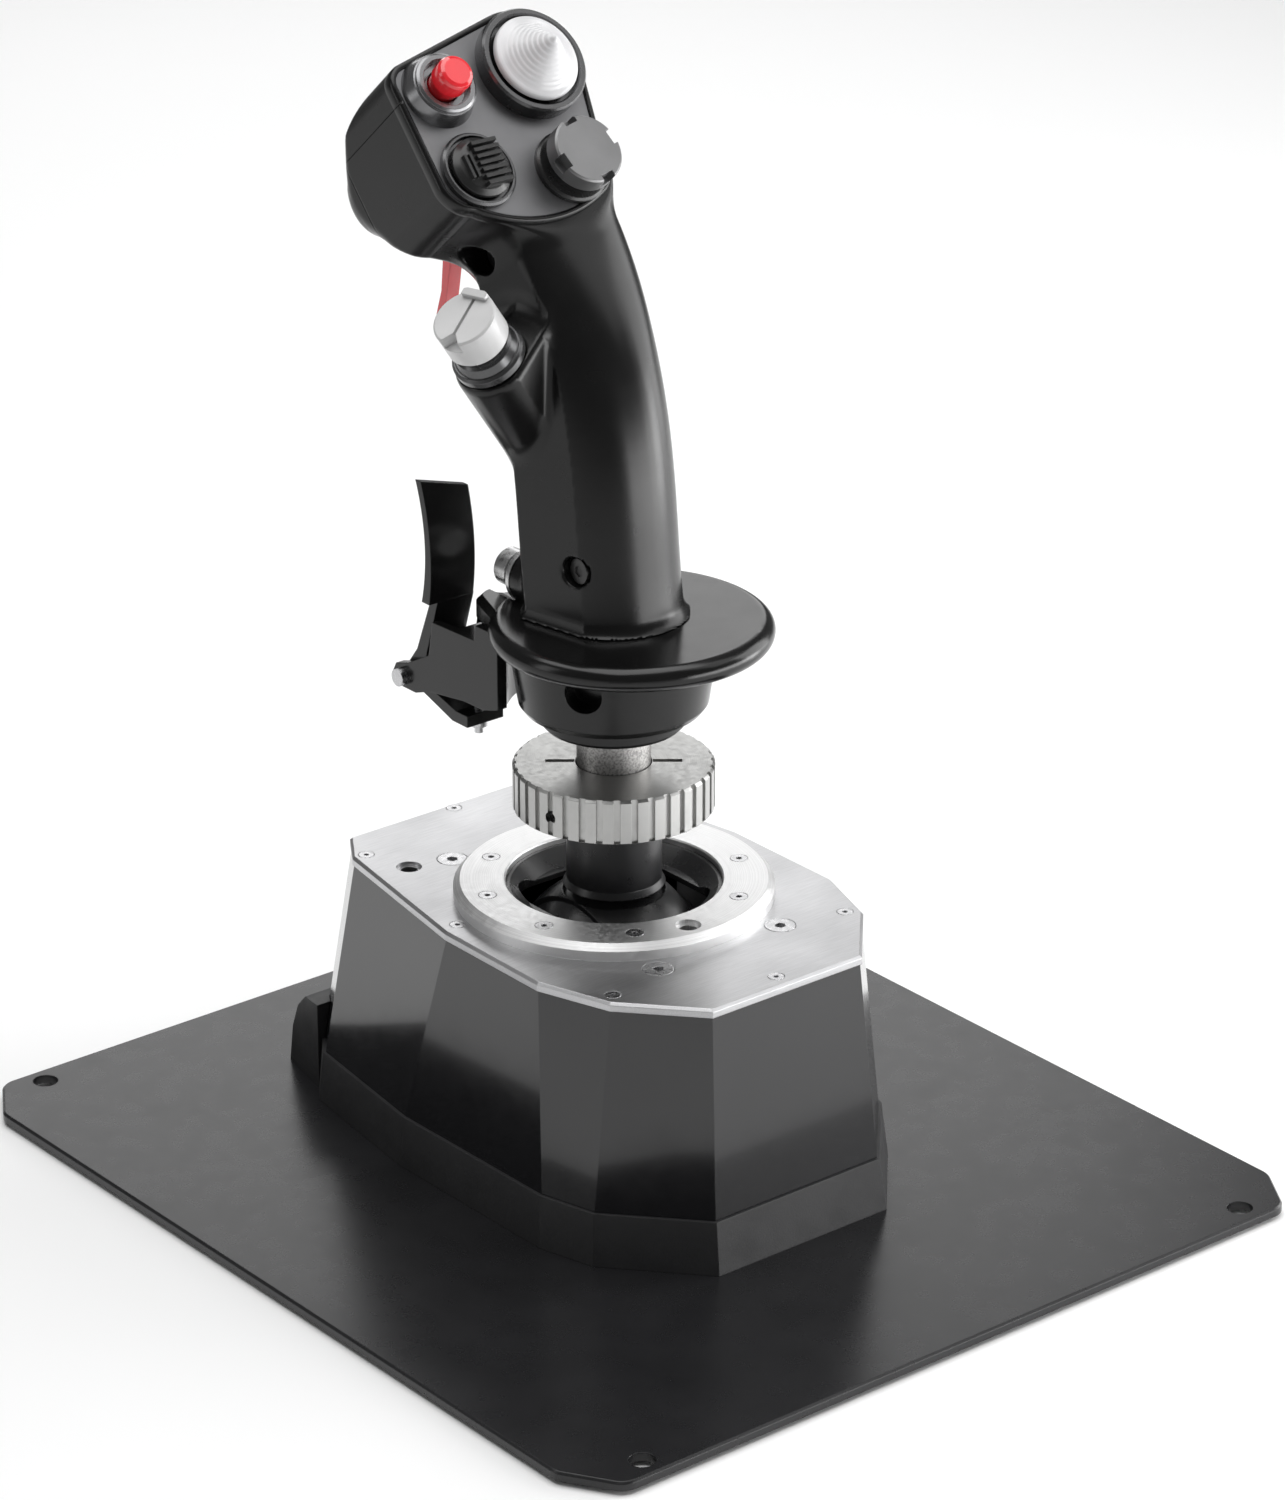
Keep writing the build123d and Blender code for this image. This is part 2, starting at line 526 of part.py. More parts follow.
def head_solid(grow=0.0):
    block = on_face(extrude(head_sketch(grow=grow), -HEAD_DEPTH))
    steps = [(HEAD_DEPTH, 1.0), (HEAD_DEPTH + 10, 0.96), (HEAD_DEPTH + 18, 0.82), (NOSE_DEPTH + grow, 0.58)]
    return block + loft([on_face(head_sketch(s, grow), d) for d, s in steps])


def face_cutters():
    """Everything that is cut through the face plate for the controls above it."""
    cuts = [rod(FACE, HAT_HOLE_R, -9, 9, at) for at in (TRIM_AT, RIDGE_AT, CASTLE_AT)]
    return cuts + [rod(FACE, RED_HOLE_R, -9, 9, RED_AT)]


def make_grip():
    behind_face = on_face(Pos(0, 0, -60) * Box(240, 400, 120))
    outer = loft([neck_section(z, yc) for z, yc in NECK_SECTIONS]) & behind_face
    outer = outer + rod(SIDE, BOSS_R, -BOSS_DEPTH, 0) + head_solid()
    outer -= rod(SIDE, SCOOP_R, 0, SCOOP_H)
    outer += loft([neck_section(DISC_Z, 5.0, 2.4), neck_section(DISC_Z + 4.0, 5.4, 0.0)])
    above_disc = Pos(0, 0, DISC_Z + 50) * Box(200, 200, 100)
    outer += rod(SILVER_AXIS, SILVER_BOSS_R, -8, 0.9) & above_disc

    cavity = loft([neck_section(z, yc, -GRIP_WALL) for z, yc in NECK_SECTIONS[:-1]])
    room_depth = HEAD_DEPTH + 6 - PLATE_DROP - FACE_PLATE_T
    head_room = on_face(extrude(head_sketch(grow=-GRIP_WALL), -room_depth), PLATE_DROP + FACE_PLATE_T)
    outer = outer - cavity - head_room
    outer -= on_face(extrude(head_sketch(grow=-2.2), -PLATE_DROP - FACE_PLATE_T))
    outer -= rod(SIDE, SIDE_HOLE_R, -SIDE_HOLE_DEPTH, 0)
    outer -= rod(SILVER_AXIS, SILVER_SLEEVE_R + 0.1, -15, 15) + rod(SILVER_AXIS, SILVER_BOSS_R + 0.2, 0.9, 15)
    for at, radius in ((TRIM_AT, TRIM_R), (RED_AT, RED_R), (CASTLE_AT, CASTLE_R), (RIDGE_AT, RIDGE_R)):
        outer -= rod(FACE, radius + RUN, -PLATE_DROP, 1.0, at)
    tx, ty, tz = TRIGGER_PIVOT
    outer -= Pos(tx, ty + 4, tz - 7) * Box(5.8, 27, 34)
    outer -= across(TRIGGER_PIVOT, TRIGGER_PIN_R + RUN, 15)
    for y, z in GRIP_SCREWS:
        outer -= Plane(origin=(-18, y, z), z_dir=(-1, 0, 0)) * Cylinder(4.9, 24)

    over_seam = on_face(Pos(-10, SEAM_B + 40, -42) * Box(120, 80, 80))
    past_seam = on_face(Pos(-10, 52, -SEAM_DEPTH - 20) * Box(120, 80, 40))
    cover_zone = over_seam + past_seam
    save("grip_body", outer - cover_zone)
    save("head_cover", outer & cover_zone)

    plate = on_face(extrude(head_sketch(grow=-2.25), -FACE_PLATE_T), PLATE_DROP)
    for cutter in face_cutters():
        plate -= cutter
    save("face_plate", plate)


# ---- controls on the grip -------------------------------------------------------------------------
def make_cross(name, plane, at, pivot):
    """Small frame that lets a hat tilt two ways; its two pins lie along the plane's X direction."""
    middle = plane * Pos(at[0], at[1], pivot)
    ring = Cylinder(3.5, 2.4) - Cylinder(2.5, 2.4)
    pins = Rot(0, 90, 0) * Cylinder(0.7, 8.0) - Cylinder(3.0, 3.0)
    save(f"{name}_cross", middle * (ring + pins))


def make_switches():
    """Housings of the four hat switches and of the three push switches."""
    hats = []
    for at in (TRIM_AT, RIDGE_AT, CASTLE_AT):
        box = Pos(at[0], at[1], -7.5) * Box(12, 12, 8) - Pos(at[0], at[1], -3.5) * Cylinder(4.3, 7.0)
        hats.append(FACE * box)
    save("hat_switches", *hats, sleeve(SIDE, 6.4, 4.3, -11.0, -0.2))
    red = FACE * Pos(RED_AT[0], RED_AT[1], -13.6) * Box(12, 12, 8)
    silver = SILVER_AXIS * Pos(0, 0, -14.6) * Box(11, 9, 6.0)
    trigger = Pos(TRIGGER_PIVOT[0], 54.5, 314) * Box(8, 6, 10)
    save("push_switches", red, silver, trigger)


def make_trim():
    pivot = 0.1
    collar = turned([
        (HAT_HOLE_R, -PLATE_DROP), (TRIM_R, -PLATE_DROP), (TRIM_R, 4.2), (TRIM_R - 0.6, 5.0),
        (TRIM_R - 2.1, 5.0), (TRIM_R - 2.7, 4.4), (TRIM_R - 2.7, 1.0), (HAT_HOLE_R, 1.0),
    ], FACE, TRIM_AT)
    save("trim_ring", collar)
    steps = [(14.6, 4.6), (14.6, 6.0)]
    ribs = 11
    for i in range(ribs):
        radius, height = 14.3 - 1.2 * i, 6.6 + 11.2 * (i / (ribs - 1)) ** 1.25
        steps += [(radius, height), (radius - 0.55, height + 0.35)]
    cone = turned([(0, 4.6), *steps, (0.9, 19.0), (0, 19.4)], FACE, TRIM_AT)
    save("trim_hat", cone + rod(FACE, HAT_STEM_R, pivot - 3.0, 4.8, TRIM_AT))
    make_cross("trim", FACE, TRIM_AT, pivot)


def make_ridge_switch():
    pivot = -1.2
    bezel = turned([
        (HAT_HOLE_R, -PLATE_DROP), (RIDGE_R, -PLATE_DROP), (RIDGE_R, 1.0), (RIDGE_R - 0.7, 1.8),
        (RIDGE_R - 1.4, 1.8), (RIDGE_R - 1.7, 0.0), (HAT_HOLE_R, 0.0),
    ], FACE, RIDGE_AT)
    save("ridge_bezel", bezel)
    cap = turned([(0, 1.5), (10.2, 1.5), (10.2, 2.8), (8.4, 4.1), (4.8, 5.0), (0, 5.3)], FACE, RIDGE_AT)
    for i in range(7):
        bar = Pos(RIDGE_AT[0] + 2.0, RIDGE_AT[1] - 6.9 + 2.3 * i, 4.8) * Box(9.6, 1.2, 3.8)
        cap += FACE * bar & rod(FACE, 10.1, 1.5, 7.0, RIDGE_AT)
    for i in range(2):
        cap += FACE * Pos(RIDGE_AT[0] - 6.4 + 2.0 * i, RIDGE_AT[1], 4.4) * Box(1.0, 8.0, 3.2)
    cap += rod(FACE, HAT_STEM_R, pivot - 2.6, 2.0, RIDGE_AT)
    save("ridge_cap", cap)
    make_cross("ridge", FACE, RIDGE_AT, pivot)


def make_castle():
    pivot = 0.0
    bezel = turned([
        (HAT_HOLE_R, -PLATE_DROP), (CASTLE_R, -PLATE_DROP), (CASTLE_R, 0.8), (CASTLE_R - 0.8, 1.6),
        (HAT_HOLE_R, 1.6),
    ], FACE, CASTLE_AT)
    save("castle_bezel", bezel)
    cap = turned([(0, 4.9), (9.0, 4.9), (11.8, 6.6), (11.8, 12.2), (11.2, 12.8), (0, 12.8)], FACE, CASTLE_AT)
    for i in range(4):
        notch = Rot(0, 0, 90 * i + 12) * Pos(11.9, 0, 11.0) * Box(4.8, 5.0, 4.4)
        cap -= FACE * Pos(*CASTLE_AT, 0) * notch
    cap += rod(FACE, HAT_STEM_R, pivot - 2.8, 5.2, CASTLE_AT)
    save("castle_hat", cap)
    make_cross("castle", FACE, CASTLE_AT, pivot)


def make_red_button():
    collar = turned([
        (RED_HOLE_R, -PLATE_DROP), (RED_R, -PLATE_DROP), (10.9, 4.6), (10.4, 4.7), (10.4, 5.6),
        (9.6, 6.2), (8.2, 6.2), (7.4, 3.2), (RED_HOLE_R, 3.2),
    ], FACE, RED_AT)
    save("button_collar", collar)
    button = turned([
        (0, -6), (5.2, -6), (5.2, 7.0), (6.0, 7.2), (6.0, 11.8), (5.5, 12.9), (4.4, 13.4), (0, 13.4),
    ], FACE, RED_AT)
    save("red_button", button)


def make_side_switch():
    pivot = 3.0
    low, high = 9.2, 21.0
    bezel = turned([
        (4.2, 0.0), (12.0, 0.0), (12.0, 2.2), (11.2, 3.0), (10.6, 3.0), (9.6, 5.6), (8.6, 6.4), (4.2, 6.4),
    ], SIDE)
    save("side_bezel", bezel)
    cap = turned([
        (0, low), (SIDE_CAP_R - 0.4, low), (SIDE_CAP_R, low + 0.6), (SIDE_CAP_R, high - 0.6),
        (SIDE_CAP_R - 0.6, high), (0, high),
    ], SIDE)
    turn = SIDE * Rot(0, 0, 19)
    cap -= turn * Pos(0, 0, high) * Box(1.0, 15.0, 2.4)
    notch = make_face(Polyline((-4.6, -11.0), (0, -5.6), (4.6, -11.0), close=True))
    cap -= turn * Pos(0, 0, high - 4.0) * extrude(notch, 5.0)
    cap += turn * Pos(0, 8.6, high - 0.4) * Box(9.0, 2.6, 4.0) & rod(SIDE, SIDE_CAP_R, high - 3, high + 2)
    cap += rod(SIDE, HAT_STEM_R, pivot - 2.8, low + 0.8)
    save("side_cap", cap)
    make_cross("side", SIDE, (0, 0), pivot)
    save("side_plunger", rod(SIDE, 1.6, pivot - 9.0, pivot - 5.2))


def make_silver_button():
    bezel = turned([
        (SILVER_BORE_R, -4), (SILVER_SLEEVE_R, -4), (SILVER_SLEEVE_R, 1), (9.2, 1), (9.2, 2.6), (8.4, 3.6),
        (SILVER_BORE_R, 3.6),
    ], SILVER_AXIS)
    save("silver_bezel", bezel)
    button = turned([
        (0, -8), (5.6, -8), (5.6, 6.9), (6.3, 7.0), (6.3, 12.4), (5.6, 13.2), (0, 13.2),
    ], SILVER_AXIS)
    save("silver_button", button)


def make_trigger():
    px, py, pz = TRIGGER_PIVOT
    half_width = 2.5
    blade = [(py - 3.4, pz + 1.5), (py - 2.0, pz + 4.0), (py + 2.0, pz + 4.0), (py + 4.2, pz + 0.5),
             (py + 3.4, pz - 10), (py + 4.4, pz - 20), (py + 7.2, pz - 28.6), (py + 3.4, pz - 29.4),
             (py + 1.4, pz - 20), (py - 0.4, pz - 10)]
    trigger = slab(blade, px - half_width, px + half_width)
    save("trigger", trigger - across(TRIGGER_PIVOT, TRIGGER_PIN_R + RUN, 12))


def make_paddle():
    px, py, pz = PADDLE_PIVOT
    hub_half, blade_half, blade_x = 7.4, 9.0, px - 2.0
    web = [
        (py - 2.8, pz - 3.4), (py + 1.5, pz - 3.2), (py + 3.2, pz), (py + 1.8, pz + 3.2),
        (py - 3.4, pz + 10), (py - 11.4, pz + 30.0), (py - 15.0, pz + 30.0), (py - 8.6, pz + 10),
        (py - 7.0, pz - 1.0), (py - 24.0, pz - 5.6), (py - 30.0, pz - 5.6), (py - 30.0, pz - 9.6),
        (py - 22.0, pz - 9.6),
    ]
    lever = slab(web, px - hub_half, px + hub_half)
    back = Spline((py - 15.2, pz + 29.8), (py - 16.4, pz + 46.0), (py - 11.0, pz + 74.0))
    front = Spline((py - 8.0, pz + 74.0), (py - 13.4, pz + 46.0), (py - 11.2, pz + 29.8))
    blade_face = make_face([back, Line(back @ 1, front @ 0), front, Line(front @ 1, back @ 0)])
    lever += extrude(Plane.YZ.offset(blade_x - blade_half) * blade_face, 2 * blade_half, dir=(1, 0, 0))
    lever -= across(PADDLE_PIVOT, PADDLE_PIN_R + RUN, 30)
    lever -= Pos(px, py - 10, pz + 68.8) * Rot(0, 15, 0) * Pos(0, 0, 10) * Box(40, 20, 20)
    lever -= drum(1.55, pz - 10, pz - 5, px, py - 26.5)
    save("paddle_lever", lever)
    screw = drum(1.5, pz - 14.0, pz - 4.4, px, py - 26.5) + drum(2.9, pz - 11.6, pz - 9.6, px, py - 26.5)
    save("paddle_screw", screw)


def make_grip_insides():
    board = Pos(NECK_X, 11.0, 226.0) * Box(24, 1.6, 54)
    chip = Pos(NECK_X, 12.4, 230.0) * Box(10, 1.2, 10)
    save("grip_board", board + chip)
    screws = []
    for y, z in GRIP_SCREWS:
        at = Plane(origin=(-19.5, y, z), z_dir=(-1, 0, 0))
        screws.append(at * (Cylinder(4.2, 2.6) - Pos(0, 0, 0.8) * extrude(RegularPolygon(1.9, 6), 2)))
    save("grip_screws", *screws)


def make_electronics():
    board = Pos(0, 60, BOARD_Z + 0.8) * Box(70, 46, 1.6)
    chips = Pos(-12, 58, BOARD_Z + 2.4) * Box(12, 12, 1.6) + Pos(16, 66, BOARD_Z + 2.6) * Box(8, 14, 2.0)
    for x, y in FOOT_SCREWS:
        board -= drum(6.5, 0, 20, x, y)
    save("main_board", board + chips)
    socket = Pos(0, 116.6, 8) * (Box(9.4, 7.4, 3.7) - Pos(0, 0.9, 0) * Box(8.4, 6.4, 2.7))
    save("usb_socket", socket)


if __name__ == "__main__":
    make_plate()
    make_skirt()
    make_shell()
    make_top_plate()
    make_ring()
    make_tower()
    make_yoke()
    make_stick()
    make_nut()
    make_stem()
    make_hub()
    make_disc()
    make_grip()
    make_switches()
    make_trim()
    make_ridge_switch()
    make_castle()
    make_red_button()
    make_side_switch()
    make_silver_button()
    make_trigger()
    make_paddle()
    make_grip_insides()
    make_electronics()
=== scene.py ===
"""Looks of the desktop flight stick: studio, materials and the pieces that stand for plain CAD parts.

Every length is in metres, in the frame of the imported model: +X to the pilot's right, +Y forward, +Z up.
"""
import bpy
import itertools
import math
import numpy as np
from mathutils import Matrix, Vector


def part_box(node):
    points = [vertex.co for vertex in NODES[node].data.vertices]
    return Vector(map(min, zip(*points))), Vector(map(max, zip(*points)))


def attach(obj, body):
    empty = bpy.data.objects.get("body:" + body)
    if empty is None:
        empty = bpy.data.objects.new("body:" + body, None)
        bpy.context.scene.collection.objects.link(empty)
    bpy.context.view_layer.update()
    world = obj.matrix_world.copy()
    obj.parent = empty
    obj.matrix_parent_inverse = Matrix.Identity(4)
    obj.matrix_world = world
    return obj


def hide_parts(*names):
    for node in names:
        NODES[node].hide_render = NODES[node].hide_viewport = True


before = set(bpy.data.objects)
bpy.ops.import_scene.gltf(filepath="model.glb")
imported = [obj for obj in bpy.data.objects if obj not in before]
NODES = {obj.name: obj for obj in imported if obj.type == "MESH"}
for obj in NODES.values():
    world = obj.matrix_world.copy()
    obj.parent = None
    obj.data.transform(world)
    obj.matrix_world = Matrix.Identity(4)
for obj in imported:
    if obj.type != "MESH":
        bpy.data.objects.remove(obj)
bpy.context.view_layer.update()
MM = 0.001


# ---- camera and studio --------------------------------------------------------------------------
LENS, SENSOR = 133.13, 36.0
CAMERA_AT, CAMERA_TARGET = (-1.0320, -1.2771, 0.8651), (0.06543, 0.07318, 0.1045)
CAMERA_ROLL = math.radians(-0.072)

MIDDLE = (0.0, 0.0, 0.15)
WORLD_STRENGTH = 0.14
FLOOR_SIZE, FLOOR_COLOUR = 16, (0.93, 0.93, 0.93, 1)
PANELS = [  # name, place, what it faces, width, height, power
    ("panel_behind", (0.92, 1.35, 0.72), MIDDLE, 1.05, 0.55, 3.4),
    ("panel_face", (0.75, -0.56, 1.21), (0, 0.05, 0.36), 0.8, 0.8, 2.4),
    ("panel_right", (1.15, -0.30, 0.45), (0, 0, 0.22), 0.8, 1.0, 8),
    ("panel_low_right", (0.50, -0.62, 0.13), (0, 0, 0.24), 1.1, 0.24, 5),
    ("panel_top", (0.0, 0.3, 2.2), MIDDLE, 2.2, 2.2, 46),
    ("panel_left", (-1.5, 0.6, 0.7), MIDDLE, 0.4, 1.2, 2.5),
]


def aim(item, target, roll=0.0):
    """Turn a camera or a light so that it looks at a point."""
    turn = (Vector(target) - item.location).to_track_quat("-Z", "Y")
    item.rotation_euler = turn.to_euler()
    item.rotation_euler.rotate_axis("Z", roll)


def make_camera():
    data = bpy.data.cameras.new("camera")
    data.lens = LENS
    data.sensor_width = SENSOR
    data.clip_end = 30.0
    camera = bpy.data.objects.new("camera", data)
    bpy.context.scene.collection.objects.link(camera)
    camera.location = CAMERA_AT
    aim(camera, CAMERA_TARGET, CAMERA_ROLL)
    bpy.context.scene.camera = camera


def softbox(name, place, target, width, height, power):
    data = bpy.data.lights.new(name, "AREA")
    data.shape = "RECTANGLE"
    data.size = width
    data.size_y = height
    data.energy = power
    light = bpy.data.objects.new(name, data)
    bpy.context.scene.collection.objects.link(light)
    light.location = place
    aim(light, target)
    light.visible_camera = False


def make_studio():
    world = bpy.data.worlds.new("studio")
    world.use_nodes = True
    background = world.node_tree.nodes["Background"]
    background.inputs["Color"].default_value = (1, 1, 1, 1)
    background.inputs["Strength"].default_value = WORLD_STRENGTH
    bpy.context.scene.world = world
    bpy.context.scene.view_settings.view_transform = "Standard"
    for panel in PANELS:
        softbox(*panel)

    bpy.ops.mesh.primitive_plane_add(size=FLOOR_SIZE, location=(0, 0, 0))
    floor = bpy.context.object
    floor.name = "floor"
    material, _, shader = new_material("floor_paper")
    shader.inputs["Base Color"].default_value = FLOOR_COLOUR
    shader.inputs["Roughness"].default_value = 0.9
    floor.data.materials.append(material)


# ---- material building blocks -------------------------------------------------------------------
def new_material(name):
    material = bpy.data.materials.new(name)
    material.use_nodes = True
    tree = material.node_tree
    return material, tree, tree.nodes["Principled BSDF"]


def place_of(tree, scale=(1, 1, 1), centre=(0, 0, 0)):
    """Object coordinates about a centre, stretched by a scale."""
    coords = tree.nodes.new("ShaderNodeTexCoord")
    mapping = tree.nodes.new("ShaderNodeMapping")
    mapping.vector_type = "POINT"
    mapping.inputs["Location"].default_value = [-c * s for c, s in zip(centre, scale)]
    mapping.inputs["Scale"].default_value = scale
    tree.links.new(coords.outputs["Object"], mapping.inputs["Vector"])
    return mapping.outputs["Vector"]


def noise(tree, vector, scale, detail=3.0):
    """Cloudy 0 to 1 pattern."""
    node = tree.nodes.new("ShaderNodeTexNoise")
    node.inputs["Scale"].default_value = scale
    node.inputs["Detail"].default_value = detail
    tree.links.new(vector, node.inputs["Vector"])
    return node.outputs["Fac"]


def spread(tree, value, low, high, start=0.3, stop=0.7):
    """Map a 0 to 1 pattern onto a range."""
    node = tree.nodes.new("ShaderNodeMapRange")
    node.inputs["From Min"].default_value = start
    node.inputs["From Max"].default_value = stop
    node.inputs["To Min"].default_value = low
    node.inputs["To Max"].default_value = high
    tree.links.new(value, node.inputs["Value"])
    return node.outputs["Result"]


def blend_colours(tree, value, dark, light):
    """Mix two colours by a 0 to 1 pattern."""
    node = tree.nodes.new("ShaderNodeMix")
    node.data_type = "RGBA"
    node.inputs[6].default_value = (*dark, 1)
    node.inputs[7].default_value = (*light, 1)
    tree.links.new(value, node.inputs[0])
    return node.outputs[2]


def relief(tree, shader, height, depth, edge=0.0):
    """Bump from a height pattern, over edges that are softened by a small radius."""
    bump = tree.nodes.new("ShaderNodeBump")
    bump.inputs["Distance"].default_value = depth
    bump.inputs["Strength"].default_value = 1.0
    tree.links.new(height, bump.inputs["Height"])
    if edge:
        soft = tree.nodes.new("ShaderNodeBevel")
        soft.samples = 4
        soft.inputs["Radius"].default_value = edge
        tree.links.new(soft.outputs["Normal"], bump.inputs["Normal"])
    tree.links.new(bump.outputs["Normal"], shader.inputs["Normal"])


def lacquer(name, colour, roughness, coat=0.0, grain=900.0, depth=4e-6, edge=0.5 * MM, spread_by=0.06,
            specular=0.5):
    """Painted or moulded surface: fine grain, uneven gloss and softly rounded edges."""
    material, tree, shader = new_material(name)
    where = place_of(tree)
    tone = spread(tree, noise(tree, where, 35.0), 0.0, 1.0)
    light = tuple(min(1.0, c * 1.25 + 0.002) for c in colour)
    tree.links.new(blend_colours(tree, tone, colour, light), shader.inputs["Base Color"])
    gloss = spread(tree, noise(tree, where, 120.0), roughness - spread_by, roughness + spread_by)
    tree.links.new(gloss, shader.inputs["Roughness"])
    shader.inputs["Specular IOR Level"].default_value = specular
    shader.inputs["Coat Weight"].default_value = coat
    shader.inputs["Coat Roughness"].default_value = 0.08
    relief(tree, shader, noise(tree, where, grain), depth, edge)
    return material


def brushed(name, colour, roughness, stretch, depth=6e-6, edge=0.35 * MM):
    """Metal with fine straight lines; stretch is small along the lines and large across them."""
    material, tree, shader = new_material(name)
    lines = noise(tree, place_of(tree, stretch), 3.0, 5.0)
    cloud = noise(tree, place_of(tree), 30.0)
    dark = tuple(c * 0.82 for c in colour)
    tree.links.new(blend_colours(tree, spread(tree, lines, 0, 1), dark, colour), shader.inputs["Base Color"])
    tree.links.new(spread(tree, cloud, roughness - 0.05, roughness + 0.06), shader.inputs["Roughness"])
    shader.inputs["Metallic"].default_value = 1.0
    relief(tree, shader, lines, depth, edge)
    return material


def lathe_turned(name, colour, roughness, centre, axis=(0, 0, 1), pitch=0.25 * MM, depth=5e-6,
                 edge=0.35 * MM):
    """Metal with fine rings about an axis, as a lathe leaves them."""
    material, tree, shader = new_material(name)
    where = place_of(tree, centre=centre)
    cross = tree.nodes.new("ShaderNodeVectorMath")
    cross.operation = "CROSS_PRODUCT"
    cross.inputs[1].default_value = axis
    tree.links.new(where, cross.inputs[0])
    length = tree.nodes.new("ShaderNodeVectorMath")
    length.operation = "LENGTH"
    tree.links.new(cross.outputs["Vector"], length.inputs[0])
    rings = tree.nodes.new("ShaderNodeTexNoise")
    rings.noise_dimensions = "1D"
    rings.inputs["Scale"].default_value = 1.0 / pitch
    rings.inputs["Detail"].default_value = 3.0
    tree.links.new(length.outputs["Value"], rings.inputs["W"])
    speckle = noise(tree, where, 600.0)
    dark = tuple(c * 0.8 for c in colour)
    tree.links.new(blend_colours(tree, spread(tree, rings.outputs["Fac"], 0, 1), dark, colour),
                   shader.inputs["Base Color"])
    tree.links.new(spread(tree, speckle, roughness - 0.06, roughness + 0.06), shader.inputs["Roughness"])
    shader.inputs["Metallic"].default_value = 1.0
    relief(tree, shader, rings.outputs["Fac"], depth, edge)
    return material


def speckled(name, colour, roughness):
    """Blasted metal with small dark specks."""
    material, tree, shader = new_material(name)
    where = place_of(tree)
    specks = spread(tree, noise(tree, where, 1400.0, 2.0), 0, 1, 0.35, 0.6)
    dark = tuple(c * 0.55 for c in colour)
    tree.links.new(blend_colours(tree, specks, dark, colour), shader.inputs["Base Color"])
    tree.links.new(spread(tree, specks, roughness + 0.1, roughness, 0, 1), shader.inputs["Roughness"])
    shader.inputs["Metallic"].default_value = 1.0
    relief(tree, shader, specks, 2e-5)
    return material


def anodised(name, colour, roughness, grain=1500.0, edge=0.3 * MM):
    """Dyed metal: a satin shine in the metal's own tone, with a very fine blasted grain."""
    material, tree, shader = new_material(name)
    where = place_of(tree)
    tone = spread(tree, noise(tree, where, 60.0), 0, 1)
    light = tuple(c * 1.15 for c in colour)
    tree.links.new(blend_colours(tree, tone, colour, light), shader.inputs["Base Color"])
    tree.links.new(spread(tree, noise(tree, where, 200.0), roughness - 0.03, roughness + 0.03),
                   shader.inputs["Roughness"])
    shader.inputs["Metallic"].default_value = 0.85
    relief(tree, shader, noise(tree, where, grain), 2e-6, edge)
    return material


def height_over(tree, point, normal):
    """Distance of a surface point over a plane, in mm; the plane is given in mm above the plate's top."""
    offset = tree.nodes.new("ShaderNodeVectorMath")
    offset.operation = "SUBTRACT"
    offset.inputs[1].default_value = to_frame(point)
    tree.links.new(place_of(tree), offset.inputs[0])
    dot = tree.nodes.new("ShaderNodeVectorMath")
    dot.operation = "DOT_PRODUCT"
    dot.inputs[1].default_value = normal / MM
    tree.links.new(offset.outputs["Vector"], dot.inputs[0])
    return dot.outputs["Value"]


def compute(tree, operation, *values):
    """One maths node; each value is a number or another node's output."""
    node = tree.nodes.new("ShaderNodeMath")
    node.operation = operation
    for socket, value in zip(node.inputs, values):
        if isinstance(value, (int, float)):
            socket.default_value = value
        else:
            tree.links.new(value, socket)
    return node.outputs["Value"]


def score_seam(material):
    """Cut the parting line between the grip's body and its head cover into a finished skin material."""
    tree = material.node_tree
    up_face = height_over(tree, FACE_POINT, FACE_B)
    depth = height_over(tree, FACE_POINT, -FACE_N)
    across = compute(tree, "ABSOLUTE", compute(tree, "SUBTRACT", up_face, SEAM_B))
    across = compute(tree, "MAXIMUM", across, compute(tree, "SUBTRACT", depth, SEAM_DEPTH))
    down = compute(tree, "ABSOLUTE", compute(tree, "SUBTRACT", depth, SEAM_DEPTH))
    down = compute(tree, "MAXIMUM", down, compute(tree, "SUBTRACT", up_face, SEAM_B))
    down = compute(tree, "MAXIMUM", down, compute(tree, "SUBTRACT", SEAM_LOW, up_face))
    nearest = compute(tree, "MINIMUM", across, down)
    shader = tree.nodes["Principled BSDF"]
    grain = shader.inputs["Normal"].links[0].from_node
    groove = tree.nodes.new("ShaderNodeBump")
    groove.inputs["Distance"].default_value = 0.3 * MM
    tree.links.new(spread(tree, nearest, 0, 1, 0.0, SEAM_HALF), groove.inputs["Height"])
    tree.links.new(grain.outputs["Normal"], groove.inputs["Normal"])
    tree.links.new(groove.outputs["Normal"], shader.inputs["Normal"])


def dress(material, *names):
    """Give CAD nodes or pieces one material."""
    for name in names:
        item = NODES[name]
        item.data.materials.clear()
        item.data.materials.append(material)


def middle_of(name):
    low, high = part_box(name)
    return (Vector(low) + Vector(high)) / 2


# ---- smooth skin of the grip --------------------------------------------------------------------
LIFT = 4.5                        # the plate's top above the ground, in mm
NECK_X = -2.0
NECK_HEIGHTS = (190, 210, 245, 274, 296, 322)
NECK_CENTRES = (5.0, 7.7, 11.8, 18.9, 28.0, 41.5)
NECK_CURVE = np.polyfit(NECK_HEIGHTS, NECK_CENTRES, 4)
FACE_TILT = math.radians(42.0)
FACE_POINT = np.array((0.0, 23.4, 319.6))
FACE_A = np.array((1.0, 0.0, 0.0))
FACE_B = np.array((0.0, math.sin(FACE_TILT), math.cos(FACE_TILT)))
FACE_N = np.array((0.0, -math.cos(FACE_TILT), math.sin(FACE_TILT)))
SIDE_RIM = np.array((-38.6, 20.3, 280.4))
SIDE_Y = np.array((0.8185, -0.114, 0.600))
SIDE_N = np.array((-0.60, -0.15, 0.79)) / math.sqrt(0.60 ** 2 + 0.15 ** 2 + 0.79 ** 2)
